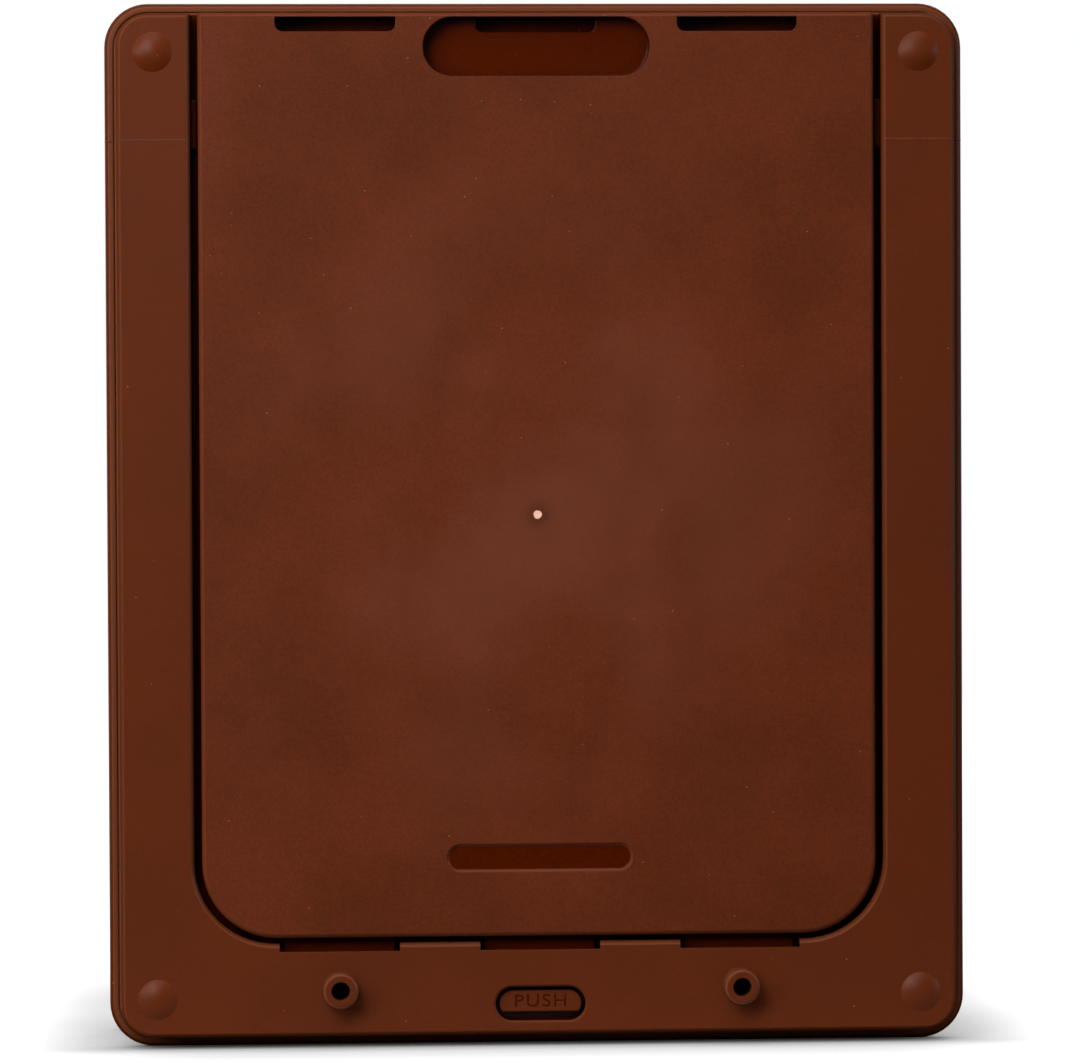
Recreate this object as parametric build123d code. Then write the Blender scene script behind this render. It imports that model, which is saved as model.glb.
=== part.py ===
from build123d import *
import os

# Millimetres. X runs right and Z up as the room side is seen, Y away from the room.
# Y = 0 is the face of the door that the internal frame lies on.

# Flanges of both frames
FLANGE_W = 294.0
FLANGE_H = 356.6
FLANGE_R = 15.0
RIM_T = 4.0
RIM_ROUND = 2.2
GROOVE_W = 0.9
GROOVE_DEPTH = 0.7
BEAD_INNER_BEVEL = 0.2

# Raised U-shaped face of the internal frame
FACE_MARGIN = 4.0
FACE_STAND = 16.0
FACE_EDGE_BEVEL = 1.4
FRONT_WALL = 2.2
SIDE_WALL = 2.5
RAIL_W = 25.1
BOTTOM_RAIL_H = 31.8
RAIL_RIB_T = 1.6
RAIL_RIB_BACK = 3.0
RAIL_RIB_PITCH = 50.0
RAIL_RIB_COUNT = 5

# Closing panel
PANEL_TOP_PROUD = 0.1
PANEL_R = 25.5
PANEL_SKIN = 2.5
PANEL_EDGE = 2.0
PANEL_TOP_EDGE = 1.4
PANEL_DEPTH = 9.0
PANEL_EDGE_BEVEL = 1.2
PANEL_RIB_T = 1.6
PANEL_RIB_DEPTH = 6.0
PANEL_RIB_PITCH = 46.0
PANEL_CROSS_RIB_PITCH = 65.0
PANEL_CROSS_RIB_RISE = 55.5
PANEL_RIB_COUNT = 4
SIDE_GAP = 2.65
BOTTOM_GAP = 2.0
BACK_GAP = 0.5

# Finger pocket, slots and name recess of the panel
POCKET_W = 77.6
POCKET_H = 20.3
POCKET_DEPTH = 7.0
POCKET_WALL = 2.0
POCKET_FLOOR_BEVEL = 0.4
COLUMN_PITCH = 68.5
SLOT_W = 41.0
SLOT_H = 5.0
SLOT_CORNER_R = 2.7
NAME_W = 63.5
NAME_H = 9.5
NAME_R = 4.4
NAME_DEPTH = 1.0
NAME_BEVEL = 0.8
NAME_RISE = 26.7

# Side tongues of the panel and the guide ribs that hold them
GUIDE_T = 1.5
GUIDE_STAND = 2.0
GUIDE_BACK = 9.5
GUIDE_L = 16.6
TONGUE_T = 2.0
TONGUE_L = 14.0
TONGUE_DROP = 29.4
GUIDE_CLEARANCE = 0.5

# Notches in the bottom lip and the tabs behind it
NOTCH_W = 41.0
NOTCH_H = 2.8
NOTCH_DEPTH = 9.4
TAB_W = 37.6
TAB_T = 2.5
TAB_L = 9.4
TAB_SET_BACK = 4.2
REST_PAD_W = 12.0
REST_CLEARANCE = 0.1

# Press catch and its window
WINDOW_W = 30.8
WINDOW_H = 11.6
WINDOW_RISE = 10.5
WINDOW_BEVEL = 0.5
WINDOW_MOUTH_DEPTH = 0.75
BUTTON_MARGIN = 1.4
BUTTON_DROP = 2.8
BUTTON_CLEARANCE = 0.3
CATCH_SET_BACK = 4.0
CATCH_T = 1.8
CATCH_ROOT_H = 9.0
CATCH_TONGUE_W = 34.0
CATCH_RISE = 4.1
CATCH_ROOT_GAP = 0.4

# Hollow bosses on the bottom rail
BOSS_RISE = 16.2
BOSS_R = 6.0
BOSS_BORE_R = 3.15
BOSS_STAND = 8.0
BOSS_EDGE_BEVEL = 0.8
BOSS_INNER_DEPTH = 9.0
BOSS_FLOOR = 2.0

# Corner screws, their posts and caps
SCREW_FROM_SIDE = 16.4
SCREW_FROM_END = 17.2
SCREW_R = 2.5
SCREW_HOLE_CLEARANCE = 0.25
SCREW_HEAD_R = 4.5
SCREW_HEAD_H = 3.5
SCREW_GRIP = 6.0
THREAD_CLEARANCE = 0.05
POST_W = 15.0
COUNTERBORE_R = 5.0
COUNTERBORE_DEPTH = 8.0
CAP_R = 6.8
CAP_H = 2.3
CAP_STEM_L = 4.0
CAP_STEM_CLEARANCE = 0.05

# Tunnel through the door and the ledge round its mouth
DOOR_T = 44.0
LEDGE_W = 6.0
LEDGE_SKIN = 2.5
HEADER_H = 45.9
HEADER_SKIN = 2.5
HEADER_RIB_T = 2.0
TUNNEL_TOP_R = 9.0
SLEEVE_T = 2.2
SLEEVE_L = 30.0
SLEEVE_CLEARANCE = 0.5
OUTER_SLEEVE_L = 24.0

# External flange
OUTER_STAND = 10.0
OUTER_EDGE_BEVEL = 3.0
OUTER_MOUTH_BEVEL = 1.5
OUTER_POST_W = 11.0
OUTER_SKIN = 2.5

# Flap, hinge rod and ears
ROD_R = 2.0
ROD_Y = 12.0
ROD_DROP = 7.4
ROD_CLEARANCE = 0.05
ROD_END_GAP = 0.9
EAR_R = 4.5
EAR_L = 4.0
EAR_GAP = 0.5
BARREL_R = 4.0
FLAP_T = 2.8
FLAP_BORDER_W = 9.0
FLAP_BORDER_T = 4.8
BRUSH_L = 5.0
BRUSH_T = 2.4
BRUSH_CLEARANCE = 0.4
BRUSH_END_GAP = 3.0

# Closing magnets
MAGNET_W = 40.0
FLAP_MAGNET_T = 4.0
FLAP_MAGNET_H = 5.0
HOUSING_WALL = 1.5
SILL_MAGNET_D = 8.0
SILL_MAGNET_H = 2.0
MAGNET_CLEARANCE = 0.1

# Sizes that follow from those above
FACE_W = FLANGE_W - 2 * FACE_MARGIN
FACE_H = FLANGE_H - 2 * FACE_MARGIN
FACE_R = FLANGE_R - FACE_MARGIN
FACE_TOP = FACE_H / 2
FACE_BOTTOM = -FACE_H / 2
ABOVE_ALL = FLANGE_H
FRONT = -FACE_STAND
FRONT_BACK = FRONT + FRONT_WALL
OPENING_HALF = FACE_W / 2 - RAIL_W
OPENING_BOTTOM = FACE_BOTTOM + BOTTOM_RAIL_H
OPENING_R = PANEL_R + BOTTOM_GAP
PANEL_HALF = OPENING_HALF - SIDE_GAP
PANEL_BOTTOM = OPENING_BOTTOM + BOTTOM_GAP
PANEL_TOP = FACE_TOP + PANEL_TOP_PROUD
PANEL_BACK = FRONT + PANEL_DEPTH
POCKET_TOP = PANEL_TOP - PANEL_TOP_EDGE
POCKET_Z = POCKET_TOP - POCKET_H / 2
NAME_Z = PANEL_BOTTOM + NAME_RISE
BUTTON_FRONT = FRONT_BACK + BUTTON_CLEARANCE
TAB_FRONT = FRONT_BACK + TAB_SET_BACK
TAB_BOTTOM = PANEL_BOTTOM - TAB_L
TONGUE_FRONT = GUIDE_CLEARANCE - GUIDE_BACK
TONGUE_TOP = PANEL_TOP - TONGUE_DROP
WINDOW_Z = FACE_BOTTOM + WINDOW_RISE
BUTTON_BOTTOM = WINDOW_Z - BUTTON_DROP
CATCH_BOTTOM = FACE_BOTTOM + CATCH_RISE
BOSS_Z = FACE_BOTTOM + BOSS_RISE
SCREW_X = FLANGE_W / 2 - SCREW_FROM_SIDE
SCREW_Z = FLANGE_H / 2 - SCREW_FROM_END
LEDGE_FRONT = PANEL_BACK + BACK_GAP
TUNNEL_HALF = OPENING_HALF - LEDGE_W
TUNNEL_BOTTOM = OPENING_BOTTOM + LEDGE_W
TUNNEL_R = OPENING_R - LEDGE_W
TUNNEL_TOP = FACE_TOP - HEADER_H
HEADER_BASE = TUNNEL_TOP - TUNNEL_TOP_R
ROD_Z = TUNNEL_TOP - ROD_DROP
OUTER_GROW = SLEEVE_T + SLEEVE_CLEARANCE
OUTER_FACE = DOOR_T + OUTER_STAND
FLAP_HALF = TUNNEL_HALF - BRUSH_CLEARANCE - BRUSH_L
FLAP_BOTTOM = TUNNEL_BOTTOM + BRUSH_CLEARANCE + BRUSH_L
FLAP_R = TUNNEL_R - BRUSH_CLEARANCE - BRUSH_L
MAGNET_TOP = FLAP_BOTTOM + FLAP_MAGNET_H
HOUSING_BACK = ROD_Y - FLAP_T / 2
HOUSING_D = FLAP_MAGNET_T + HOUSING_WALL + 2 * MAGNET_CLEARANCE
COLUMNS = (-COLUMN_PITCH, 0.0, COLUMN_PITCH)
CAP_W = 4 * CAP_R
SCREWS = [(x, z) for x in (-SCREW_X, SCREW_X) for z in (-SCREW_Z, SCREW_Z)]


# Building blocks
def slab(outline, front, back):
    """An outline drawn in X and Z, filled from depth front to depth back."""
    start = Plane((0, back, 0), x_dir=(1, 0, 0), z_dir=(0, -1, 0))
    return extrude(start * outline, back - front)


def block(x, y, z):
    """A box between the pairs of limits x, y and z."""
    size = [b - a for a, b in (x, y, z)]
    middle = [(a + b) / 2 for a, b in (x, y, z)]
    return Pos(*middle) * Box(*size)


def rod_y(radius, x, z, front, back):
    """A round bar along Y."""
    return Pos(x, (front + back) / 2, z) * Rot(90, 0, 0) * Cylinder(radius, back - front)


def rod_x(radius, y, z, left, right):
    """A round bar along X."""
    return Pos((left + right) / 2, y, z) * Rot(0, 90, 0) * Cylinder(radius, right - left)


def pillar(width, x, z, front, back):
    """A square bar along Y."""
    half = width / 2
    return block((x - half, x + half), (front, back), (z - half, z + half))


def tray(half, bottom, top, lower_r, upper_r=0.0):
    """A rectangle with rounded lower corners and, if asked, rounded upper ones."""
    sheet = Pos(0, (top + bottom) / 2) * Rectangle(2 * half, top - bottom)
    sheet = fillet(sheet.vertices().group_by(Axis.Y)[0], lower_r)
    if upper_r:
        sheet = fillet(sheet.vertices().group_by(Axis.Y)[-1], upper_r)
    return sheet


def stadium(width, height, x, z):
    return Pos(x, z) * SlotOverall(width, height)


def row(pitch, count, first=None):
    """Places at an even pitch: from the first one on, or centred on zero."""
    start = -pitch * (count - 1) / 2 if first is None else first
    return [start + pitch * i for i in range(count)]


def front_edges(shape):
    return shape.faces().sort_by(Axis.Y)[0].edges()


def back_edges(shape):
    return shape.faces().sort_by(Axis.Y)[-1].edges()


# Outlines shared by several parts
def channel(grow=0.0):
    """The room the panel slides in, open at the top."""
    return tray(OPENING_HALF + grow, OPENING_BOTTOM - grow, ABOVE_ALL, OPENING_R + grow)


def tunnel(grow=0.0):
    """The passage through the door."""
    top = TUNNEL_TOP + grow
    return tray(TUNNEL_HALF + grow, TUNNEL_BOTTOM - grow, top, TUNNEL_R + grow, TUNNEL_TOP_R + grow)


def backing_outline():
    """The part of the channel that the ledge fills, up to the top of the raised face."""
    return tray(OPENING_HALF, OPENING_BOTTOM, FACE_TOP, OPENING_R)


def panel_outline(inset=0.0):
    half = PANEL_HALF - inset
    return tray(half, PANEL_BOTTOM + inset, PANEL_TOP - min(inset, PANEL_TOP_EDGE), PANEL_R - inset)


def flap_outline(inset=0.0):
    return tray(FLAP_HALF - inset, FLAP_BOTTOM + inset, ROD_Z - inset, FLAP_R - inset)


# Internal frame
def rim_plate():
    """The flange with its rounded bead and the groove inside the bead."""
    plate = slab(RectangleRounded(FLANGE_W, FLANGE_H, FLANGE_R), -RIM_T, 0)
    plate = fillet(front_edges(plate), RIM_ROUND)
    wide = RectangleRounded(FACE_W + 2 * GROOVE_W, FACE_H + 2 * GROOVE_W, FACE_R + GROOVE_W)
    plate -= slab(wide, -RIM_T, -RIM_T + GROOVE_DEPTH)
    crest = plate.faces().sort_by(Axis.Y)[0]
    return chamfer(crest.inner_wires()[0].edges(), BEAD_INNER_BEVEL)


def raised_face():
    """The U-shaped face, hollow from the door side."""
    solid = slab(RectangleRounded(FACE_W, FACE_H, FACE_R), FRONT, 0)
    solid -= slab(channel(), FRONT, 0)
    solid = chamfer(front_edges(solid), FACE_EDGE_BEVEL)
    inner = RectangleRounded(FACE_W - 2 * SIDE_WALL, FACE_H - 2 * SIDE_WALL, FACE_R - SIDE_WALL)
    return solid, slab(inner - channel(SIDE_WALL), FRONT_BACK, 0)


def ledge():
    """The wall behind the panel's edge and top, cored from the door side below the tunnel's head."""
    outline = backing_outline()
    head = Pos(0, (HEADER_BASE + FACE_TOP) / 2) * Rectangle(2 * OPENING_HALF, FACE_TOP - HEADER_BASE)
    core = outline - tunnel(SLEEVE_T) - head
    return slab(outline - tunnel(), LEDGE_FRONT, 0) - slab(core, LEDGE_FRONT + LEDGE_SKIN, 0)


def header_bays():
    """Hollows in the front of the ledge's head, one behind each slot of the panel."""
    half = (COLUMN_PITCH - HEADER_RIB_T) / 2
    up = (TUNNEL_TOP + SIDE_WALL, POCKET_TOP)
    return [block((x - half, x + half), (LEDGE_FRONT, -HEADER_SKIN), up) for x in COLUMNS]


def rail_ribs():
    """Stiffening ribs across the hollow of the side rails."""
    ribs = []
    for z in row(RAIL_RIB_PITCH, RAIL_RIB_COUNT):
        span = (z - RAIL_RIB_T / 2, z + RAIL_RIB_T / 2)
        rib = block((OPENING_HALF, FACE_W / 2 - SIDE_WALL / 2), (FRONT_BACK, -RAIL_RIB_BACK), span)
        ribs += [rib, mirror(rib, Plane.YZ)]
    return ribs


def screw_posts():
    """Square pillars behind the corner screws."""
    return [pillar(POST_W, x, z, FRONT_BACK, 0) for x, z in SCREWS]


def screw_bores():
    shoulder = FRONT + COUNTERBORE_DEPTH
    bores = [rod_y(COUNTERBORE_R, x, z, FRONT, shoulder) for x, z in SCREWS]
    return bores + [rod_y(SCREW_R + SCREW_HOLE_CLEARANCE, x, z, shoulder, 0) for x, z in SCREWS]


def boss_tubes():
    """The hollow bosses: proud of the rail in front and closed behind."""
    tubes = []
    for x in (-COLUMN_PITCH, COLUMN_PITCH):
        tube = rod_y(BOSS_R, x, BOSS_Z, FRONT - BOSS_STAND, FRONT_BACK + BOSS_INNER_DEPTH)
        tubes.append(chamfer(front_edges(tube), BOSS_EDGE_BEVEL))
    return tubes


def boss_bores():
    end = FRONT_BACK + BOSS_INNER_DEPTH - BOSS_FLOOR
    return [rod_y(BOSS_BORE_R, x, BOSS_Z, FRONT - BOSS_STAND, end) for x in (-COLUMN_PITCH, COLUMN_PITCH)]


def lip_notches():
    """The three notches, cut on through the front of the sill so that tabs can drop in."""
    cuts = []
    for x in COLUMNS:
        span = (x - NOTCH_W / 2, x + NOTCH_W / 2)
        cuts.append(block(span, (FRONT, FRONT + NOTCH_DEPTH), (OPENING_BOTTOM - NOTCH_H, OPENING_BOTTOM)))
    return cuts


def rest_pads():
    """Pads on the boss tubes that the outer tabs stand on."""
    top = TAB_BOTTOM - REST_CLEARANCE
    pads = []
    for x in (-COLUMN_PITCH, COLUMN_PITCH):
        span = (x - REST_PAD_W / 2, x + REST_PAD_W / 2)
        pads.append(block(span, (FRONT_BACK, TAB_FRONT + TAB_T), (BOSS_Z, top)))
    return pads


def guide_ribs():
    """Ribs in the upper ends of the side gaps, in front of the panel's tongues."""
    depth = (-GUIDE_BACK - GUIDE_T, -GUIDE_BACK)
    up = (TUNNEL_TOP, TUNNEL_TOP + GUIDE_L)
    rib = block((OPENING_HALF - GUIDE_STAND, OPENING_HALF + SIDE_WALL / 2), depth, up)
    return [rib, mirror(rib, Plane.YZ)]


def hinge_ears():
    ear = rod_x(EAR_R, ROD_Y, ROD_Z, TUNNEL_HALF - EAR_L, TUNNEL_HALF + SLEEVE_T)
    return [ear, mirror(ear, Plane.YZ)]


def sill_cradle():
    """The pocket under the sill that holds the fixed magnet."""
    half = MAGNET_W / 2 + HOUSING_WALL
    depth = SILL_MAGNET_D / 2 + HOUSING_WALL
    top = TUNNEL_BOTTOM - SLEEVE_T / 2
    low = TUNNEL_BOTTOM - SLEEVE_T - SILL_MAGNET_H
    return block((-half, half), (ROD_Y - depth, ROD_Y + depth), (low, top))


def sill_pocket():
    half = MAGNET_W / 2 + MAGNET_CLEARANCE
    depth = SILL_MAGNET_D / 2 + MAGNET_CLEARANCE
    top = TUNNEL_BOTTOM - SLEEVE_T
    return block((-half, half), (ROD_Y - depth, ROD_Y + depth), (top - SILL_MAGNET_H, top))


def button_window():
    """The oval window, bevelled at its front edge."""
    hole = slab(stadium(WINDOW_W, WINDOW_H, 0, WINDOW_Z), FRONT, FRONT_BACK)
    mouth = stadium(WINDOW_W + 2 * WINDOW_BEVEL, WINDOW_H + 2 * WINDOW_BEVEL, 0, WINDOW_Z)
    return hole + chamfer(back_edges(slab(mouth, FRONT, FRONT + WINDOW_MOUTH_DEPTH)), WINDOW_BEVEL)


def internal_frame():
    solid, hollow = raised_face()
    frame = rim_plate() - slab(backing_outline(), -RIM_T, 0) + solid - hollow
    frame += ledge()
    frame += slab(tunnel(SLEEVE_T) - tunnel(), 0, SLEEVE_L)
    for piece in screw_posts() + rail_ribs() + guide_ribs() + boss_tubes() + rest_pads():
        frame += piece
    for piece in hinge_ears() + [sill_cradle()]:
        frame += piece
    hinge_bore = rod_x(ROD_R + ROD_CLEARANCE, ROD_Y, ROD_Z, -TUNNEL_HALF, TUNNEL_HALF)
    for piece in screw_bores() + boss_bores() + lip_notches() + header_bays():
        frame -= piece
    for piece in (button_window(), hinge_bore, sill_pocket()):
        frame -= piece
    return frame


# External frame
def external_frame():
    """The outer flange, hollow on the door side, with the sleeve that telescopes over the inner one."""
    plate = slab(RectangleRounded(FLANGE_W, FLANGE_H, FLANGE_R), DOOR_T, OUTER_FACE)
    plate = chamfer(back_edges(plate), OUTER_EDGE_BEVEL)
    plate -= slab(tunnel(OUTER_GROW), DOOR_T, OUTER_FACE)
    mouth = plate.faces().sort_by(Axis.Y)[-1].inner_wires()[0]
    plate = chamfer(mouth.edges(), OUTER_MOUTH_BEVEL)
    inner_r = FLANGE_R - SIDE_WALL
    inner = RectangleRounded(FLANGE_W - 2 * SIDE_WALL, FLANGE_H - 2 * SIDE_WALL, inner_r)
    plate -= slab(inner - tunnel(OUTER_GROW + SLEEVE_T), DOOR_T, OUTER_FACE - OUTER_SKIN)
    sleeve = tunnel(OUTER_GROW + SLEEVE_T) - tunnel(OUTER_GROW)
    plate += slab(sleeve, DOOR_T - OUTER_SLEEVE_L, DOOR_T)
    for x, z in SCREWS:
        plate += pillar(OUTER_POST_W, x, z, DOOR_T, OUTER_FACE - OUTER_SKIN / 2)
    for x, z in SCREWS:
        plate -= rod_y(SCREW_R + THREAD_CLEARANCE, x, z, DOOR_T, OUTER_FACE - OUTER_SKIN)
    return plate


# Closing panel
def panel_skin():
    """The tray: a flat face with a wall round its edge."""
    solid = slab(panel_outline(), FRONT, PANEL_BACK)
    solid = chamfer(front_edges(solid), PANEL_EDGE_BEVEL)
    return solid - slab(panel_outline(PANEL_EDGE), FRONT + PANEL_SKIN, PANEL_BACK)


def panel_ribs():
    """A grid of shallow ribs on the back of the tray."""
    depth = (FRONT + PANEL_SKIN, FRONT + PANEL_RIB_DEPTH)
    low = PANEL_BOTTOM + PANEL_EDGE / 2
    high = POCKET_TOP - POCKET_H - POCKET_WALL / 2
    half = PANEL_HALF - PANEL_EDGE / 2
    across = row(PANEL_RIB_PITCH, PANEL_RIB_COUNT)
    up = row(PANEL_CROSS_RIB_PITCH, PANEL_RIB_COUNT, PANEL_BOTTOM + PANEL_CROSS_RIB_RISE)
    ribs = [block((x - PANEL_RIB_T / 2, x + PANEL_RIB_T / 2), depth, (low, high)) for x in across]
    ribs += [block((-half, half), depth, (z - PANEL_RIB_T / 2, z + PANEL_RIB_T / 2)) for z in up]
    return ribs


def pocket_cup():
    """The cup behind the finger pocket, trimmed to the panel's top edge."""
    cup = stadium(POCKET_W + 2 * POCKET_WALL, POCKET_H + 2 * POCKET_WALL, 0, POCKET_Z)
    return slab(cup & panel_outline(), FRONT + PANEL_SKIN, FRONT + POCKET_DEPTH + POCKET_WALL)


def finger_pocket():
    pocket = slab(stadium(POCKET_W, POCKET_H, 0, POCKET_Z), FRONT, FRONT + POCKET_DEPTH)
    return chamfer(back_edges(pocket), POCKET_FLOOR_BEVEL)


def name_recess():
    """A shallow recess with sloping walls, left bare."""
    outline = Pos(0, NAME_Z) * RectangleRounded(NAME_W, NAME_H, NAME_R)
    return chamfer(back_edges(slab(outline, FRONT, FRONT + NAME_DEPTH)), NAME_BEVEL)


def top_slots():
    """The slots under the top edge: two in the face and one in the pocket's floor."""
    cuts = []
    for x in COLUMNS:
        depth = PANEL_SKIN if x else POCKET_DEPTH + POCKET_WALL
        cuts.append(slab(Pos(x, 0) * slot_outline(), FRONT, FRONT + depth))
    return cuts


def slot_outline():
    return tray(SLOT_W / 2, POCKET_TOP - SLOT_H, POCKET_TOP, SLOT_CORNER_R)


def side_tongues():
    depth = (TONGUE_FRONT, TONGUE_FRONT + TONGUE_T)
    tip = OPENING_HALF - GUIDE_CLEARANCE
    tongue = block((PANEL_HALF - PANEL_EDGE, tip), depth, (TONGUE_TOP - TONGUE_L, TONGUE_TOP))
    return [tongue, mirror(tongue, Plane.YZ)]


def panel_tabs():
    """The outer tabs that drop behind the lip of the bottom rail."""
    tabs = []
    for x in (-COLUMN_PITCH, COLUMN_PITCH):
        span = (x - TAB_W / 2, x + TAB_W / 2)
        up = (TAB_BOTTOM, PANEL_BOTTOM + PANEL_EDGE / 2)
        tabs.append(block(span, (TAB_FRONT, TAB_FRONT + TAB_T), up))
    return tabs


def closing_panel():
    panel = panel_skin()
    for piece in panel_ribs() + side_tongues() + panel_tabs() + [pocket_cup()]:
        panel += piece
    for piece in [finger_pocket(), name_recess()] + top_slots():
        panel -= piece
    return panel


# Press catch
def button_outline():
    """The oval window's shape drawn in by a margin, with a straight lower edge."""
    width, height = WINDOW_W - 2 * BUTTON_MARGIN, WINDOW_H - 2 * BUTTON_MARGIN
    oval = stadium(width, height, 0, WINDOW_Z)
    keep = height / 2 + WINDOW_Z - BUTTON_BOTTOM
    return oval & (Pos(0, BUTTON_BOTTOM + keep / 2) * Rectangle(width, keep))


def press_catch():
    """The spring tongue below the panel, with the button that stands into the window."""
    top = PANEL_BOTTOM - CATCH_ROOT_GAP
    set_back = BUTTON_FRONT + CATCH_SET_BACK
    root = block((-TAB_W / 2, TAB_W / 2), (TAB_FRONT, set_back + CATCH_T), (top - CATCH_ROOT_H, top))
    half = CATCH_TONGUE_W / 2
    tongue = block((-half, half), (set_back, set_back + CATCH_T), (CATCH_BOTTOM, top))
    return root + tongue + slab(button_outline(), BUTTON_FRONT, set_back + CATCH_T / 2)


# Screws and caps
def screw_caps():
    """Domed caps whose stems plug the counterbores."""
    dome_r = (CAP_R**2 + CAP_H**2) / (2 * CAP_H)
    caps = []
    for x, z in SCREWS:
        ball = Pos(x, FRONT - CAP_H + dome_r, z) * Sphere(dome_r)
        dome = ball - block((x - CAP_W, x + CAP_W), (FRONT, FRONT + CAP_W), (z - CAP_W, z + CAP_W))
        stem = rod_y(COUNTERBORE_R - CAP_STEM_CLEARANCE, x, z, FRONT, FRONT + CAP_STEM_L)
        caps.append(dome + stem)
    return caps


def fixing_screws():
    seat = FRONT + COUNTERBORE_DEPTH
    screws = []
    for x, z in SCREWS:
        head = rod_y(SCREW_HEAD_R, x, z, seat - SCREW_HEAD_H, seat)
        screws.append(head + rod_y(SCREW_R, x, z, seat, DOOR_T + SCREW_GRIP))
    return screws


# Flap, hinge and seals
def magnet_housing():
    """The box at the foot of the flap that holds its magnet, open below."""
    half = MAGNET_W / 2 + MAGNET_CLEARANCE + HOUSING_WALL
    depth = (HOUSING_BACK - HOUSING_D, HOUSING_BACK + FLAP_T / 2)
    return block((-half, half), depth, (FLAP_BOTTOM, MAGNET_TOP + HOUSING_WALL))


def magnet_pocket():
    half = MAGNET_W / 2 + MAGNET_CLEARANCE
    depth = (HOUSING_BACK - FLAP_MAGNET_T - 2 * MAGNET_CLEARANCE, HOUSING_BACK)
    return block((-half, half), depth, (FLAP_BOTTOM, MAGNET_TOP))


def flap():
    """A plate with a thicker border, hung from a barrel along its top."""
    half = FLAP_T / 2
    border = FLAP_BORDER_T / 2
    plate = slab(flap_outline(), ROD_Y - half, ROD_Y + half)
    plate += slab(flap_outline() - flap_outline(FLAP_BORDER_W), ROD_Y - border, ROD_Y + border)
    barrel = TUNNEL_HALF - EAR_L - EAR_GAP
    plate += rod_x(BARREL_R, ROD_Y, ROD_Z, -barrel, barrel)
    plate += magnet_housing()
    return plate - magnet_pocket() - rod_x(ROD_R + ROD_CLEARANCE, ROD_Y, ROD_Z, -barrel, barrel)


def hinge_rod():
    end = TUNNEL_HALF - ROD_END_GAP
    return rod_x(ROD_R, ROD_Y, ROD_Z, -end, end)


def side_brush():
    """The right-hand seal strip, between the flap's corner curve and the hinge ear."""
    low = FLAP_BOTTOM + FLAP_R + BRUSH_END_GAP
    high = ROD_Z - EAR_R - BRUSH_END_GAP
    depth = (ROD_Y - BRUSH_T / 2, ROD_Y + BRUSH_T / 2)
    return block((FLAP_HALF, FLAP_HALF + BRUSH_L), depth, (low, high))


def bottom_brush():
    half = FLAP_HALF - FLAP_R - BRUSH_END_GAP
    depth = (ROD_Y - BRUSH_T / 2, ROD_Y + BRUSH_T / 2)
    return block((-half, half), depth, (FLAP_BOTTOM - BRUSH_L, FLAP_BOTTOM))


def flap_magnet():
    middle = HOUSING_BACK - MAGNET_CLEARANCE - FLAP_MAGNET_T / 2
    depth = (middle - FLAP_MAGNET_T / 2, middle + FLAP_MAGNET_T / 2)
    return block((-MAGNET_W / 2, MAGNET_W / 2), depth, (FLAP_BOTTOM, MAGNET_TOP))


def sill_magnet():
    top = TUNNEL_BOTTOM - SLEEVE_T
    depth = (ROD_Y - SILL_MAGNET_D / 2, ROD_Y + SILL_MAGNET_D / 2)
    return block((-MAGNET_W / 2, MAGNET_W / 2), depth, (top - SILL_MAGNET_H, top))


# One STEP file for each node
NODES = {
    "internal_frame": internal_frame(),
    "external_frame": external_frame(),
    "closing_panel": closing_panel(),
    "press_catch": press_catch(),
    "screw_caps": Compound(children=screw_caps()),
    "fixing_screws": Compound(children=fixing_screws()),
    "flap": flap(),
    "hinge_rod": hinge_rod(),
    "flap_brush_left": mirror(side_brush(), Plane.YZ),
    "flap_brush_right": side_brush(),
    "flap_brush_bottom": bottom_brush(),
    "flap_magnet": flap_magnet(),
    "sill_magnet": sill_magnet(),
}
os.makedirs("parts", exist_ok=True)
for name, shape in NODES.items():
    export_step(shape, f"parts/{name}.step")
    print(name, len(shape.solids()), "solid", round(shape.volume), "mm3")
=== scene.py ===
# %% [markdown]
# # A dog flap with a lift-out closing panel
#
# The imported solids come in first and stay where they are. They already hold every moulding, screw, rod
# and magnet at its true size, so this lesson only adds what solids leave out: finishes, the small marks
# that moulding leaves behind, the pile of the flap's seals, the studio and the camera.
# A piece could be placed by eye, but reading the boxes of the loaded nodes keeps each one on its carrier.

# %% Load the frame
import math

import bpy
import numpy as np
from mathutils import Matrix, Vector


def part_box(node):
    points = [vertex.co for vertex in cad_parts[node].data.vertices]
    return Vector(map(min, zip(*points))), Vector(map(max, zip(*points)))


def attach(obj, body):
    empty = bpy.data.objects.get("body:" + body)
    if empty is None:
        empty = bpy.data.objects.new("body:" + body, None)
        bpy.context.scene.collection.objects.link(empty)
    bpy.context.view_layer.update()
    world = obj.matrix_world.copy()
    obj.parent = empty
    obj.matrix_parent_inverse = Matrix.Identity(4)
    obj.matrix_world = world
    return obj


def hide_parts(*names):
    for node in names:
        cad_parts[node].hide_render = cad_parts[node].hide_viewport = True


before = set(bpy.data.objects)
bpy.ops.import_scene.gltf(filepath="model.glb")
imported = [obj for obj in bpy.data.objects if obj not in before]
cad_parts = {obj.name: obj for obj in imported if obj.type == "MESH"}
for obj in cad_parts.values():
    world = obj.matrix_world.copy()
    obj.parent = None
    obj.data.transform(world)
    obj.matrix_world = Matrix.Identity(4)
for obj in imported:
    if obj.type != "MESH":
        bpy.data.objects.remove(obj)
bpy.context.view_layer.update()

MM = 0.001
FACE_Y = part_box("closing_panel")[0].y
FLOOR_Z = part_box("internal_frame")[0].z
print("nodes", len(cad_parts), "face at", round(FACE_Y / MM, 2), "mm")
print("floor at", round(FLOOR_Z / MM, 2), "mm")

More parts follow.
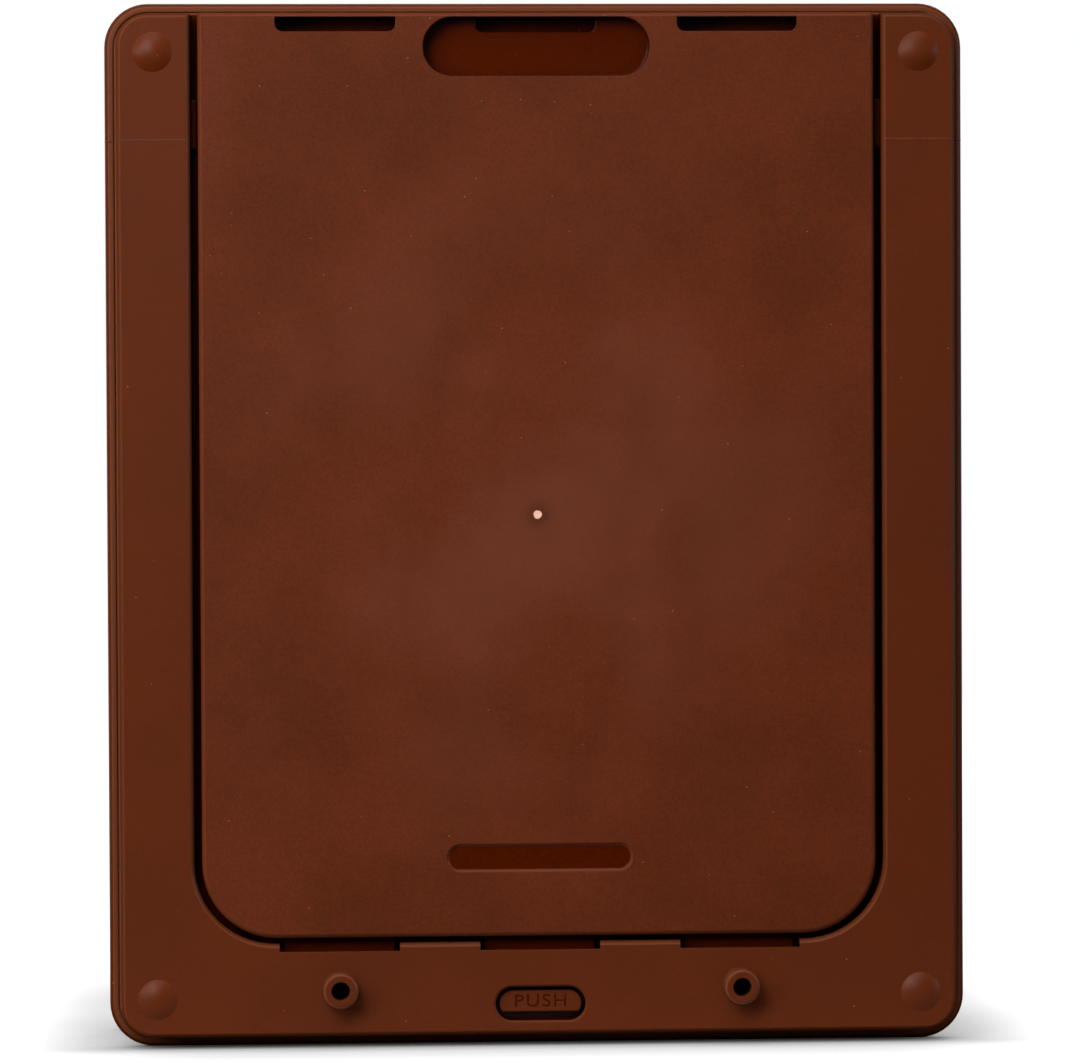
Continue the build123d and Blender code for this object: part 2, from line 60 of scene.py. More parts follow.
# %% [markdown]
# ## Camera
#
# The photograph was taken from about two metres with a long lens, a little to the left of the part and
# a little above its middle. Blender can aim a camera with a constraint, but a fitted place and three
# turns are exact: yaw towards +X, then pitch, then roll. The matrix columns are the camera's right,
# up and backward directions.

# %% Camera at the photograph's angle
CAMERA_AT = (-116.1, -2000.0, 48.5)
YAW, PITCH, ROLL = (math.radians(a) for a in (3.362, -1.466, -0.263))
LENS = 194.28
SENSOR = 36.0

forward = Vector((math.sin(YAW) * math.cos(PITCH), math.cos(YAW) * math.cos(PITCH), math.sin(PITCH)))
level = Vector((math.cos(YAW), -math.sin(YAW), 0))
upright = level.cross(forward)
right = math.cos(ROLL) * level + math.sin(ROLL) * upright
up = math.cos(ROLL) * upright - math.sin(ROLL) * level

camera = bpy.data.objects.new("camera", bpy.data.cameras.new("camera"))
camera.data.lens = LENS
camera.data.sensor_width = SENSOR
camera.data.sensor_fit = "HORIZONTAL"
turn = Matrix((right, up, -forward)).transposed().to_4x4()
camera.matrix_world = Matrix.Translation(Vector(CAMERA_AT) * MM) @ turn
bpy.context.scene.collection.objects.link(camera)
bpy.context.scene.camera = camera
bpy.context.scene.view_settings.view_transform = "Standard"
print("camera at", CAMERA_AT, "mm, lens", LENS, "mm")

# %% [markdown]
# ## Two helpers for node materials
#
# Colours are written as the sRGB hex values that a picture editor shows, while shaders work in linear
# light, so one function converts them. The other adds a node, sets its properties and fills its inputs,
# either with a value or with a wire from an earlier node. The settings that come back often have names.

# %% Colour and node helpers
COLOURS = {"data_type": "RGBA"}
SMOOTH = {"interpolation_type": "SMOOTHSTEP"}
TIMES = {"operation": "MULTIPLY"}
MINUS = {"operation": "SUBTRACT"}
LARGER = {"operation": "MAXIMUM"}
ABOVE = {"operation": "GREATER_THAN"}
WITHIN = {"operation": "COMPARE"}
UNSIGNED = {"operation": "ABSOLUTE"}
LENGTH = {"operation": "LENGTH"}
SCALED = {"operation": "SCALE"}


def linear(hex_colour):
    """Linear RGBA from an sRGB hex value: the standard curve, straight near black, a 2.4 power above."""
    srgb = np.array([int(hex_colour[i:i + 2], 16) for i in (1, 3, 5)]) / 255
    rgb = np.where(srgb <= 0.04045, srgb / 12.92, ((srgb + 0.055) / 1.055) ** 2.4)
    return (*rgb.tolist(), 1.0)


def add(tree, kind, settings=None, inputs=None):
    """A new node: settings are its own properties, inputs are values or wires by socket name or number."""
    node = tree.nodes.new("ShaderNode" + kind)
    for key, value in (settings or {}).items():
        setattr(node, key, value)
    for key, value in (inputs or {}).items():
        if isinstance(value, bpy.types.NodeSocket):
            tree.links.new(value, node.inputs[key])
        else:
            node.inputs[key].default_value = value
    return node


def new_material(name):
    """An empty node material and its tree."""
    material = bpy.data.materials.new(name)
    material.use_nodes = True
    material.node_tree.nodes.clear()
    return material, material.node_tree


def middle_and_half(low, high):
    """Middle of a span and half its width, which is how a Compare node takes a span."""
    return (low + high) / 2, (high - low) / 2


print("mid grey #808080 in linear light:", [round(c, 4) for c in linear("#808080")[:3]])

# %% [markdown]
# ## Studio: floor, room and lamps
#
# The part stands on a white table in front of a white background. The floor is a plane. To the camera it
# is white paint with a grey shade under and behind the part. The shade fades out to the front, to the
# sides and with distance, so no horizon shows, and it is darkest where the part touches the table. To
# light that bounces towards the part the floor is dull close by, so that the gap under the face stays
# black, and pale on the table in front, which fills the lower half of the face. Glossy edges mirror a
# bright strip of the table and the white behind the part. The room is white to the camera and behind the
# part, and dim in front of it, as the unlit side of a studio is. A soft box high on the left gives the
# shadows their direction, a wide one above and two at the sides draw the light lines along the edges, and
# one behind lights the far side.

# %% Sizes of the floor in metres, and its levels
FLOOR_SIZE = 12.0
FLECK = 25 * MM  # unevenness of the paint
GLOW_OPEN = 1.0  # white, away from the part
GLOW_BESIDE = 0.62  # grey, under and behind it
FRONT_EDGE = (-0.03, -0.01)  # depths over which the grey begins
SIDE_FADE = (0.145, 0.185)  # half widths over which it ends
FADE = (0.2, 0.32)  # distances from the middle over which it ends
CONTACT_REACH = 0.06
CONTACT_SAMPLES = 16
TABLE_SPAN = (-0.08, -0.018)  # depths of the table top that lights the face
MIRROR_SPAN = (-0.11, FACE_Y - 2 * MM)  # depths of the table top that edges mirror
MIRROR_LEVEL = 0.6
BACK_FROM = 0.22  # what is mirrored beyond this depth is white
print("table top lights the face over", round((TABLE_SPAN[1] - TABLE_SPAN[0]) / MM), "mm")


# %% Paint of the table
def seen_table(tree, coords, along, depth):
    """For the camera: diffuse paint, and a glow that drops near the part and in contact with it."""
    fleck = add(tree, "TexNoise", None, {"Vector": coords, "Scale": 1 / FLECK}).outputs[0]
    tone = add(tree, "Mix", COLOURS, {0: fleck, 6: linear("#787878"), 7: linear("#7C7C7C")})
    paint = add(tree, "BsdfDiffuse", None, {"Color": tone.outputs[2]})
    contact = add(tree, "AmbientOcclusion", {"samples": CONTACT_SAMPLES}, {"Distance": CONTACT_REACH})
    near = add(tree, "MapRange", SMOOTH,
               {0: depth, 1: FRONT_EDGE[0], 2: FRONT_EDGE[1], 3: GLOW_OPEN, 4: GLOW_BESIDE})
    sideways = add(tree, "Math", UNSIGNED, {0: along}).outputs[0]
    beside = add(tree, "MapRange", SMOOTH,
                 {0: sideways, 1: SIDE_FADE[0], 2: SIDE_FADE[1], 3: near.outputs[0], 4: GLOW_OPEN})
    flat = add(tree, "VectorMath", TIMES, {0: coords, 1: (1.0, 1.0, 0.0)})
    away = add(tree, "VectorMath", LENGTH, {0: flat.outputs[0]}).outputs["Value"]
    glowing = add(tree, "MapRange", SMOOTH,
                  {0: away, 1: FADE[0], 2: FADE[1], 3: beside.outputs[0], 4: GLOW_OPEN})
    glow = add(tree, "Emission", None, {"Color": contact.outputs["Color"], "Strength": glowing.outputs[0]})
    return add(tree, "AddShader", None, {0: paint.outputs[0], 1: glow.outputs[0]}).outputs[0]


def unseen_table(tree, depth, mirror):
    """For all other rays: dull under the part, pale in front of it, and bright where it is mirrored."""
    middle, half = middle_and_half(*TABLE_SPAN)
    top = add(tree, "Math", WITHIN, {0: depth, 1: middle, 2: half}).outputs[0]
    bounce = add(tree, "Mix", COLOURS, {0: top, 6: linear("#282828"), 7: linear("#ACACAC")})
    dull = add(tree, "BsdfDiffuse", None, {"Color": bounce.outputs[2]})
    middle, half = middle_and_half(*MIRROR_SPAN)
    in_front = add(tree, "Math", WITHIN, {0: depth, 1: middle, 2: half}).outputs[0]
    behind = add(tree, "Math", ABOVE, {0: depth, 1: BACK_FROM}).outputs[0]
    mirrored = add(tree, "Math", {"operation": "MULTIPLY_ADD"}, {0: in_front, 1: MIRROR_LEVEL, 2: behind})
    white = add(tree, "Emission", None, {"Strength": mirrored.outputs[0]})
    return add(tree, "MixShader", None, {0: mirror, 1: dull.outputs[0], 2: white.outputs[0]}).outputs[0]


def table_paint():
    """White painted table: one look for the camera, and one for the light that it sends to the part."""
    material, tree = new_material("white_table_paint")
    path = add(tree, "LightPath").outputs
    coords = add(tree, "TexCoord").outputs["Object"]
    along, depth = add(tree, "SeparateXYZ", None, {0: coords}).outputs[:2]
    mirror = add(tree, "Math", LARGER, {0: path["Is Glossy Ray"], 1: path["Is Transmission Ray"]})
    seen = seen_table(tree, coords, along, depth)
    unseen = unseen_table(tree, depth, mirror.outputs[0])
    mixed = add(tree, "MixShader", None, {0: path["Is Camera Ray"], 1: unseen, 2: seen})
    add(tree, "OutputMaterial", None, {"Surface": mixed.outputs[0]})
    return material


# %% Floor
corner = FLOOR_SIZE / 2
floor_mesh = bpy.data.meshes.new("floor")
floor_corners = [(x * corner, y * corner, FLOOR_Z) for x, y in ((-1, -1), (1, -1), (1, 1), (-1, 1))]
floor_mesh.from_pydata(floor_corners, [], [(0, 1, 2, 3)])
floor = bpy.data.objects.new("floor", floor_mesh)
bpy.context.scene.collection.objects.link(floor)
floor.data.materials.append(table_paint())
print("floor", FLOOR_SIZE, "m square at", round(FLOOR_Z, 4), "m")

# %% Room
ROOM_LEVEL = 0.1
ROOM_BACK = 0.5  # a direction counts as behind the part from this share along +Y


def studio_room():
    """White to the camera and behind the part, dim everywhere else."""
    world = bpy.data.worlds.new("studio_room")
    world.use_nodes = True
    tree = world.node_tree
    tree.nodes.clear()
    path = add(tree, "LightPath").outputs
    away = add(tree, "SeparateXYZ", None, {0: add(tree, "TexCoord").outputs["Generated"]}).outputs["Y"]
    behind = add(tree, "Math", ABOVE, {0: away, 1: ROOM_BACK}).outputs[0]
    mirrored = add(tree, "Math", LARGER, {0: path["Is Glossy Ray"], 1: path["Is Transmission Ray"]})
    backed = add(tree, "Math", TIMES, {0: mirrored.outputs[0], 1: behind})
    shown = add(tree, "Math", LARGER, {0: path["Is Camera Ray"], 1: backed.outputs[0]})
    dim = add(tree, "Background", None, {"Color": linear("#FFFFFF"), "Strength": ROOM_LEVEL})
    white = add(tree, "Background", None, {"Color": linear("#FFFFFF"), "Strength": 1.0})
    room = add(tree, "MixShader", None, {0: shown.outputs[0], 1: dim.outputs[0], 2: white.outputs[0]})
    add(tree, "OutputWorld", None, {"Surface": room.outputs[0]})
    return world


bpy.context.scene.world = studio_room()
print("room at", ROOM_LEVEL)

# %% Lamps: place and size in metres, power in watts
SOFT_BOXES = {
    "key_soft_box": ((-0.55, -1.05, 0.61), 0.58, 12.6),
    "top_soft_box": ((-0.1, -1.0, 1.9), 1.6, 18.0),
    "left_soft_box": ((-1.4, -1.1, 0.35), 0.5, 8.0),
    "right_soft_box": ((1.6, -0.35, 0.3), 0.5, 4.5),
    "back_soft_box": ((0.5, 1.6, 0.9), 1.4, 20.0),
}


def soft_box(name, place, size, power):
    """A square area lamp at a place, turned to face the middle of the part."""
    lamp = bpy.data.objects.new(name, bpy.data.lights.new(name, "AREA"))
    lamp.data.size = size
    lamp.data.energy = power
    lamp.location = place
    lamp.rotation_euler = (-Vector(place)).to_track_quat("-Z", "Y").to_euler()
    bpy.context.scene.collection.objects.link(lamp)


for name, (place, size, power) in SOFT_BOXES.items():
    soft_box(name, place, size, power)
print("lamps", {name: box[2] for name, box in SOFT_BOXES.items()}, "W")

# %% [markdown]
# ## Brown moulded plastic
#
# The frames, panel, catch, caps and flap are injection-moulded polypropylene, coloured through. The flat
# show faces come from a spark-eroded tool, which leaves a fine grain and a soft hazy sheen. Recesses,
# walls and caps come from polished steel: there the same plastic looks deeper and glossier. Both finishes
# could be two materials on split faces, but a loaded mesh stays as it is, so the depth of a point and the
# way it faces decide: a flat point on the show plane is grained, and what lies deeper is polished.
# A bevel is painted from a highlight at its edge to shade at its foot. The crest of the rim carries a
# painted highlight, its groove is painted lighter against its shade, and crevices are painted darker as
# shade.
# Melt that cools unevenly leaves broad clouds, and a used surface carries a few specks of dust. The edges
# of the tool are worn round by a fraction of a millimetre, which the shader's edge rounding shows on
# every corner.

# %% Sizes and tones of the moulded plastic
BROWN_POLISHED = "#481400"  # off polished steel
BLOOM = "#884A36"  # wisps of chilled melt
DUST = "#A87862"
RIM_HIGHLIGHT = "#623118"  # painted highlight along the crest of the rim
GROOVE_PAINTED_LIGHT = "#7A4228"  # painted light that lifts the shaded groove inside it
CLOUD = 45 * MM
MOTTLE = 4 * MM
GRAIN = 0.9 * MM  # coarser than the eroded grain, which is too fine to show in the render
GRAIN_DEPTH = 0.012 * MM
GRAIN_SHARE = 0.75  # grain against mottle in the tone
MOST_NOISE = (0.35, 0.65)  # most of a noise's values lie in this span
MORE_NOISE = (0.3, 0.7)
DUST_SPACING = 7.5 * MM
DUST_RADIUS = 0.25 * MM
DUST_CORE = 0.6  # share of the radius with full cover
DUST_COVER = 0.8
PLASTIC_IOR = 1.49
DEEP_POLISH = 0.16  # roughness in recesses
HAZE_SWING = 0.05  # roughness of the show faces varies by this
print("clouds", round(CLOUD / MM), "mm, mottle", round(MOTTLE / MM), "mm, grain", GRAIN / MM, "mm")

# %% Places on the moulded plastic
SHOW_DEPTH = 1.5 * MM  # bevels reach this far below the show plane
SHOW_BLEND = 0.15 * MM
SUNK_FROM = 0.5 * MM  # flat floors from this depth are polished
FACING = 0.9  # least share of the normal along Y on a flat face
EDGE_FADE = 1.4 * MM  # depth from the edge of a bevel to its foot
EDGE_ROUND = 0.7 * MM
EDGE_SAMPLES = 4
RIM_CREST = 4.0 * MM  # the crest stands this far in front of the door
RIM_ROUND = 2.2 * MM
FACE_MARGIN = 4.0 * MM  # from the flange's edge to the raised face
FACE_CORNER = 11.0 * MM
# crevices are painted darker as shade
CREVICE_REACH = 9 * MM
CREVICE_OPEN = 0.6  # openness to light above which nothing is shaded
CREVICE_SHADE = 0.18  # tone left in the closest crevice
print("rim crest", RIM_CREST / MM, "mm, edges rounded by", EDGE_ROUND / MM, "mm")

# %% Finishes: tones, swing of the mottle, specular level, roughness of flat faces and of bevels
# edge and foot: painted highlight at a bevel's edge and painted shade at its foot
FRAME_FINISH = {"tone": "#5C2509", "cloud": "#572308", "edge": "#6B381E", "foot": "#4C1E08",
                "mottle": 0.05, "gloss": 0.11, "haze": 0.55, "polish": 0.3}
PANEL_FINISH = {"tone": "#612811", "cloud": "#552207", "edge": "#6D351C", "foot": "#5C2610",
                "mottle": 0.15, "gloss": 0.12, "haze": 0.55, "polish": 0.3}
CAP_FINISH = {"tone": "#5E2609", "cloud": "#5A2408", "edge": "#5E2609", "foot": "#5E2609",
              "mottle": 0.03, "gloss": 0.135, "haze": 0.42, "polish": 0.4}
# the witness lines' paler tone is a painted highlight
FLASH_HIGHLIGHT_FINISH = {"tone": "#7E4630", "cloud": "#784330", "edge": "#7E4630", "foot": "#7E4630",
                "mottle": 0.03, "gloss": 0.12, "haze": 0.45, "polish": 0.45}
print("one plastic:", [f["tone"] for f in (FRAME_FINISH, PANEL_FINISH, CAP_FINISH, FLASH_HIGHLIGHT_FINISH)])


# %% Where the tool was eroded
def outside_face(tree, coords):
    """One outside the face's rounded outline: further past the corner centres than the corner's radius."""
    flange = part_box("internal_frame")[1]
    shrink = FACE_MARGIN + FACE_CORNER
    inner = (flange.x - shrink, 0.0, flange.z - shrink)
    ahead = add(tree, "VectorMath", TIMES, {0: coords, 1: (1.0, 0.0, 1.0)})
    mirrored = add(tree, "VectorMath", UNSIGNED, {0: ahead.outputs[0]})
    past = add(tree, "VectorMath", MINUS, {0: mirrored.outputs[0], 1: inner})
    kept = add(tree, "VectorMath", LARGER, {0: past.outputs[0], 1: (0.0, 0.0, 0.0)})
    reach = add(tree, "VectorMath", LENGTH, {0: kept.outputs[0]}).outputs["Value"]
    return add(tree, "Math", ABOVE, {0: reach, 1: FACE_CORNER}).outputs[0]


def show_places(tree, coords, depth, facing, show_y):
    """Masks: show plane with bevels and rim, the same without the rim, height on a bevel, and the rim."""
    side = 1.0 if show_y < 0 else -1.0
    foot = show_y + side * SHOW_DEPTH
    face = add(tree, "MapRange", None, {0: depth, 1: foot, 2: foot + side * SHOW_BLEND, 3: 1.0, 4: 0.0})
    behind = add(tree, "Math", MINUS, {0: depth, 1: show_y}).outputs[0]
    deeper = add(tree, "Math", TIMES, {0: behind, 1: side}).outputs[0]
    low = add(tree, "Math", ABOVE, {0: deeper, 1: SUNK_FROM}).outputs[0]
    sunk = add(tree, "Math", TIMES, {0: low, 1: facing}).outputs[0]
    raised = add(tree, "Math", MINUS, {0: face.outputs[0], 1: sunk}).outputs[0]
    middle, half = middle_and_half(-RIM_CREST - SHOW_BLEND, -RIM_CREST + RIM_ROUND)
    round_rim = add(tree, "Math", WITHIN, {0: depth, 1: middle, 2: half}).outputs[0]
    rim = add(tree, "Math", TIMES, {0: round_rim, 1: outside_face(tree, coords)}).outputs[0]
    show = add(tree, "Math", LARGER, {0: raised, 1: rim}).outputs[0]
    height = add(tree, "MapRange", None, {0: deeper, 1: 0.0, 2: EDGE_FADE, 3: 1.0, 4: 0.0}).outputs[0]
    return show, raised, height, rim


print("show plane and bevels down to", round(SHOW_DEPTH / MM, 2), "mm are grained or rubbed")


# %% Tone of the moulded plastic
def moulded_tone(tree, coords, depth, facing, places, patterns, finish):
    """Clouded faces over polished recesses, then painted highlight and shade on bevels and rim."""
    show, raised, height, rim = places
    cloud, grain = patterns
    drift = add(tree, "MapRange", None, {0: cloud, 1: MOST_NOISE[0], 2: MOST_NOISE[1], 3: 0.0, 4: 1.0})
    flat = add(tree, "Mix", COLOURS,
               {0: drift.outputs[0], 6: linear(finish["tone"]), 7: linear(finish["cloud"])})
    tone = add(tree, "Mix", COLOURS, {0: show, 6: linear(BROWN_POLISHED), 7: flat.outputs[2]})
    mottle = add(tree, "TexNoise", None, {"Vector": coords, "Scale": 1 / MOTTLE, "Detail": 4.0}).outputs[0]
    mixed = add(tree, "Mix", None, {0: GRAIN_SHARE, 2: mottle, 3: grain}).outputs[0]
    swing = finish["mottle"]
    shade = add(tree, "MapRange", None,
                {0: mixed, 1: MOST_NOISE[0], 2: MOST_NOISE[1], 3: 1 - swing, 4: 1 + swing})
    varied = add(tree, "VectorMath", SCALED, {0: tone.outputs[2], "Scale": shade.outputs[0]})
    sloped = add(tree, "Math", MINUS, {0: 1.0, 1: facing}).outputs[0]
    bevel = add(tree, "Math", TIMES, {0: raised, 1: sloped}).outputs[0]
    # painted highlight at the edge of a bevel, fading to painted shade at its foot
    bevel_highlight_to_shade = add(tree, "Mix", COLOURS, {0: height, 6: linear(finish["foot"]), 7: linear(finish["edge"])})
    painted_bevels = add(tree, "Mix", COLOURS, {0: bevel, 6: varied.outputs[0], 7: bevel_highlight_to_shade.outputs[2]})
    # painted highlight on the rim's crest, painted light in its shaded groove
    middle, half = middle_and_half(-RIM_CREST - SHOW_BLEND, -RIM_CREST + SHOW_BLEND)
    crest = add(tree, "Math", WITHIN, {0: depth, 1: middle, 2: half}).outputs[0]
    rim_painted_light = add(tree, "Mix", COLOURS, {0: crest, 6: linear(GROOVE_PAINTED_LIGHT), 7: linear(RIM_HIGHLIGHT)})
    flat_rim = add(tree, "Math", TIMES, {0: rim, 1: facing}).outputs[0]
    return add(tree, "Mix", COLOURS, {0: flat_rim, 6: painted_bevels.outputs[2], 7: rim_painted_light.outputs[2]}).outputs[2]


print("bevels run from edge to foot over", round(EDGE_FADE / MM, 2), "mm")

# %% Flow marks round the gate
FLOW_WISP = 55 * MM
FLOW_REACH = 150 * MM
RING = (1.5 * MM, 7 * MM)
RING_SHADE = 0.72
BLOOM_SHARE = 0.3


def flow_marks(tree, coords, centre, tone):
    """Melt that chills round the gate: a dark ring close to it, then pale wisps that fade outwards."""
    offset = add(tree, "VectorMath", MINUS, {0: coords, 1: centre})
    away = add(tree, "VectorMath", LENGTH, {0: offset.outputs[0]}).outputs["Value"]
    stir = add(tree, "TexNoise", None,
               {"Vector": coords, "Scale": 1 / FLOW_WISP, "Detail": 4.0, "Roughness": 0.4}).outputs[0]
    wisps = add(tree, "MapRange", SMOOTH, {0: stir, 1: MOST_NOISE[0], 2: MOST_NOISE[1], 3: 0.0, 4: 1.0})
    reach = add(tree, "MapRange", SMOOTH, {0: away, 1: RING[1], 2: FLOW_REACH, 3: BLOOM_SHARE, 4: 0.0})
    share = add(tree, "Math", TIMES, {0: wisps.outputs[0], 1: reach.outputs[0]})
    bloomed = add(tree, "Mix", COLOURS, {0: share.outputs[0], 6: tone, 7: linear(BLOOM)})
    ring = add(tree, "MapRange", SMOOTH, {0: away, 1: RING[0], 2: RING[1], 3: RING_SHADE, 4: 1.0})
    return add(tree, "VectorMath", SCALED, {0: bloomed.outputs[2], "Scale": ring.outputs[0]}).outputs[0]


print("flow marks reach", round(FLOW_REACH / MM), "mm from the gate")


# %% Dust, and painted shade in crevices
def dust_and_crevice_shade(tree, coords, tone, rim):
    """Dust round the points of a Voronoi pattern, then painted shade where walls stand close, but not on
    the rim.
    """
    cell = add(tree, "TexVoronoi", None, {"Vector": coords, "Scale": 1 / DUST_SPACING})
    reach = DUST_RADIUS / DUST_SPACING
    speck = add(tree, "MapRange", None,
                {0: cell.outputs["Distance"], 1: DUST_CORE * reach, 2: reach, 3: DUST_COVER, 4: 0.0})
    dusted = add(tree, "Mix", COLOURS, {0: speck.outputs[0], 6: tone, 7: linear(DUST)})
    nearby = add(tree, "AmbientOcclusion", {"samples": EDGE_SAMPLES}, {"Distance": CREVICE_REACH})
    crevice = add(tree, "MapRange", None,
                  {0: nearby.outputs["AO"], 1: 0.0, 2: CREVICE_OPEN, 3: CREVICE_SHADE, 4: 1.0})
    lit = add(tree, "Math", LARGER, {0: crevice.outputs[0], 1: rim}).outputs[0]
    return add(tree, "VectorMath", SCALED, {0: dusted.outputs[2], "Scale": lit}).outputs[0]


print("dust every", DUST_SPACING / MM, "mm or so, crevices shaded within", CREVICE_REACH / MM, "mm")


# %% Brown moulded plastic
def moulded_plastic(name, show_y, finish, gate=None):
    """Polypropylene: hazy spark-eroded grain on the show plane at show_y, deep gloss everywhere else."""
    material, tree = new_material(name)
    place = add(tree, "TexCoord").outputs
    coords = place["Object"]
    depth = add(tree, "SeparateXYZ", None, {0: coords}).outputs["Y"]
    across = add(tree, "SeparateXYZ", None, {0: place["Normal"]}).outputs["Y"]
    frontal = add(tree, "Math", UNSIGNED, {0: across}).outputs[0]
    facing = add(tree, "Math", ABOVE, {0: frontal, 1: FACING}).outputs[0]
    places = show_places(tree, coords, depth, facing, show_y)
    show, rim = places[0], places[-1]
    cloud = add(tree, "TexNoise", None, {"Vector": coords, "Scale": 1 / CLOUD, "Detail": 3.0}).outputs[0]
    grain = add(tree, "TexNoise", None, {"Vector": coords, "Scale": 1 / GRAIN, "Detail": 2.0}).outputs[0]
    tone = moulded_tone(tree, coords, depth, facing, places, (cloud, grain), finish)
    flowed = flow_marks(tree, coords, gate, tone) if gate else tone
    shaded = dust_and_crevice_shade(tree, coords, flowed, rim)
    haze = finish["haze"]
    hazy = add(tree, "MapRange", None,
               {0: cloud, 1: MORE_NOISE[0], 2: MORE_NOISE[1], 3: haze - HAZE_SWING, 4: haze + HAZE_SWING})
    matt = add(tree, "Math", TIMES, {0: show, 1: facing}).outputs[0]
    sleek = add(tree, "Mix", None, {0: show, 2: DEEP_POLISH, 3: finish["polish"]}).outputs[0]
    rough = add(tree, "Mix", None, {0: matt, 2: sleek, 3: hazy.outputs[0]})
    relief = add(tree, "Math", TIMES, {0: grain, 1: matt}).outputs[0]
    bump = add(tree, "Bump", None, {"Strength": 1.0, "Distance": GRAIN_DEPTH, "Height": relief})
    if finish is not CAP_FINISH:
        worn = add(tree, "Bevel", {"samples": EDGE_SAMPLES}, {"Radius": EDGE_ROUND})
        tree.links.new(worn.outputs[0], bump.inputs["Normal"])
    shader = add(tree, "BsdfPrincipled", None,
                 {"Base Color": shaded, "Roughness": rough.outputs[0], "IOR": PLASTIC_IOR,
                  "Specular IOR Level": finish["gloss"], "Normal": bump.outputs[0]})
    add(tree, "OutputMaterial", None, {"Surface": shader.outputs[0]})
    return material


print("grain", round(GRAIN_DEPTH / MM, 3), "mm deep on flat show faces")

# %% Dress the mouldings
OUTER_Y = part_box("external_frame")[1].y
BUTTON_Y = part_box("press_catch")[0].y
FLAP_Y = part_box("flap")[1].y
GATE_X = -0.3 * MM
GATE_Z = 3.4 * MM
GATE = (GATE_X, FACE_Y, GATE_Z)
MOULDINGS = {
    "internal_frame": ("brown_polypropylene_room_side", FACE_Y, FRAME_FINISH, None),
    "closing_panel": ("brown_polypropylene_panel", FACE_Y, PANEL_FINISH, GATE),
    "press_catch": ("brown_polypropylene_button", BUTTON_Y, FRAME_FINISH, None),
    "screw_caps": ("brown_polypropylene_caps", FACE_Y, CAP_FINISH, None),
    "external_frame": ("brown_polypropylene_outer_side", OUTER_Y, FRAME_FINISH, None),
    "flap": ("brown_polypropylene_flap", FLAP_Y, FRAME_FINISH, None),
}


def dress(material, *nodes):
    """Gives the material to loaded nodes, in place of the plain one that they came with."""
    for node in nodes:
        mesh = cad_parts[node].data
        mesh.materials.clear()
        mesh.materials.append(material)


plastics = {node: moulded_plastic(*made) for node, made in MOULDINGS.items()}
for node, plastic in plastics.items():
    dress(plastic, node)
print("show planes at", {node: round(made[1] / MM, 2) for node, made in MOULDINGS.items()}, "mm")

# %% [markdown]
# ## Steel and ferrite
#
# The fixing screws and the hinge rod are zinc-plated steel: a metal shader with a slightly cloudy
# roughness, because plating is never even. The magnets are sintered ferrite, a dark grey ceramic with a
# sandy surface.

# %% Zinc-plated steel
PLATING_CLOUD = 3 * MM
PLATING_ROUGHNESS = (0.26, 0.42)


def zinc_plated_steel():
    """Bright plating over turned steel: blue-grey, with cloudy roughness."""
    material, tree = new_material("zinc_plated_steel")
    coords = add(tree, "TexCoord").outputs["Object"]
    cloud = add(tree, "TexNoise", None,
                {"Vector": coords, "Scale": 1 / PLATING_CLOUD, "Detail": 4.0}).outputs[0]
    tone = add(tree, "Mix", COLOURS, {0: cloud, 6: linear("#A4A8AB"), 7: linear("#BCC0C2")})
    bright, dull = PLATING_ROUGHNESS
    rough = add(tree, "MapRange", None, {0: cloud, 1: MORE_NOISE[0], 2: MORE_NOISE[1], 3: bright, 4: dull})
    shader = add(tree, "BsdfPrincipled", None,
                 {"Base Color": tone.outputs[2], "Metallic": 1.0, "Roughness": rough.outputs[0]})
    add(tree, "OutputMaterial", None, {"Surface": shader.outputs[0]})
    return material


dress(zinc_plated_steel(), "fixing_screws", "hinge_rod")
print("plating roughness", PLATING_ROUGHNESS)

# %% Sintered ferrite
FERRITE_GRIT = 0.5 * MM
FERRITE_RELIEF = 0.02 * MM
FERRITE_ROUGHNESS = 0.6


def sintered_ferrite():
    """Pressed and fired magnet ceramic: charcoal grey with a sandy bump."""
    material, tree = new_material("sintered_ferrite")
    coords = add(tree, "TexCoord").outputs["Object"]
    grit = add(tree, "TexNoise", None,
               {"Vector": coords, "Scale": 1 / FERRITE_GRIT, "Detail": 3.0}).outputs[0]
    tone = add(tree, "Mix", COLOURS, {0: grit, 6: linear("#242426"), 7: linear("#39393C")})
    bump = add(tree, "Bump", None, {"Strength": 1.0, "Distance": FERRITE_RELIEF, "Height": grit})
    shader = add(tree, "BsdfPrincipled", None,
                 {"Base Color": tone.outputs[2], "Roughness": FERRITE_ROUGHNESS, "Normal": bump.outputs[0]})
    add(tree, "OutputMaterial", None, {"Surface": shader.outputs[0]})
    return material


dress(sintered_ferrite(), "flap_magnet", "sill_magnet")
print("ferrite grit", FERRITE_GRIT / MM, "mm")

# %% [markdown]
# ## Putting a worked-out surface into a mesh
#
# A surface of two parameters is a grid of points. Neighbours in the grid make quads, and both open ends
# are closed by one face, so the piece is watertight. The quads come from index arithmetic on whole
# arrays.

# %% Mesh from a grid
CREASE = math.radians(40)


def piece_from_grid(name, points, body, material):
    """Rows of rings: quads join each ring to the next, and the first and last rings are capped."""
    rows, ring = points.shape[:2]
    index = np.arange(rows * ring).reshape(rows, ring)
    after = np.roll(index, -1, axis=1)
    quads = np.stack([index[:-1], after[:-1], after[1:], index[1:]], axis=-1).reshape(-1, 4)
    caps = [index[0, ::-1].tolist(), index[-1].tolist()]
    mesh = bpy.data.meshes.new(name)
    mesh.from_pydata(points.reshape(-1, 3).tolist(), [], quads.tolist() + caps)
    mesh.materials.append(material)
    piece = bpy.data.objects.new(name, mesh)
    bpy.context.scene.collection.objects.link(piece)
    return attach(piece, body)


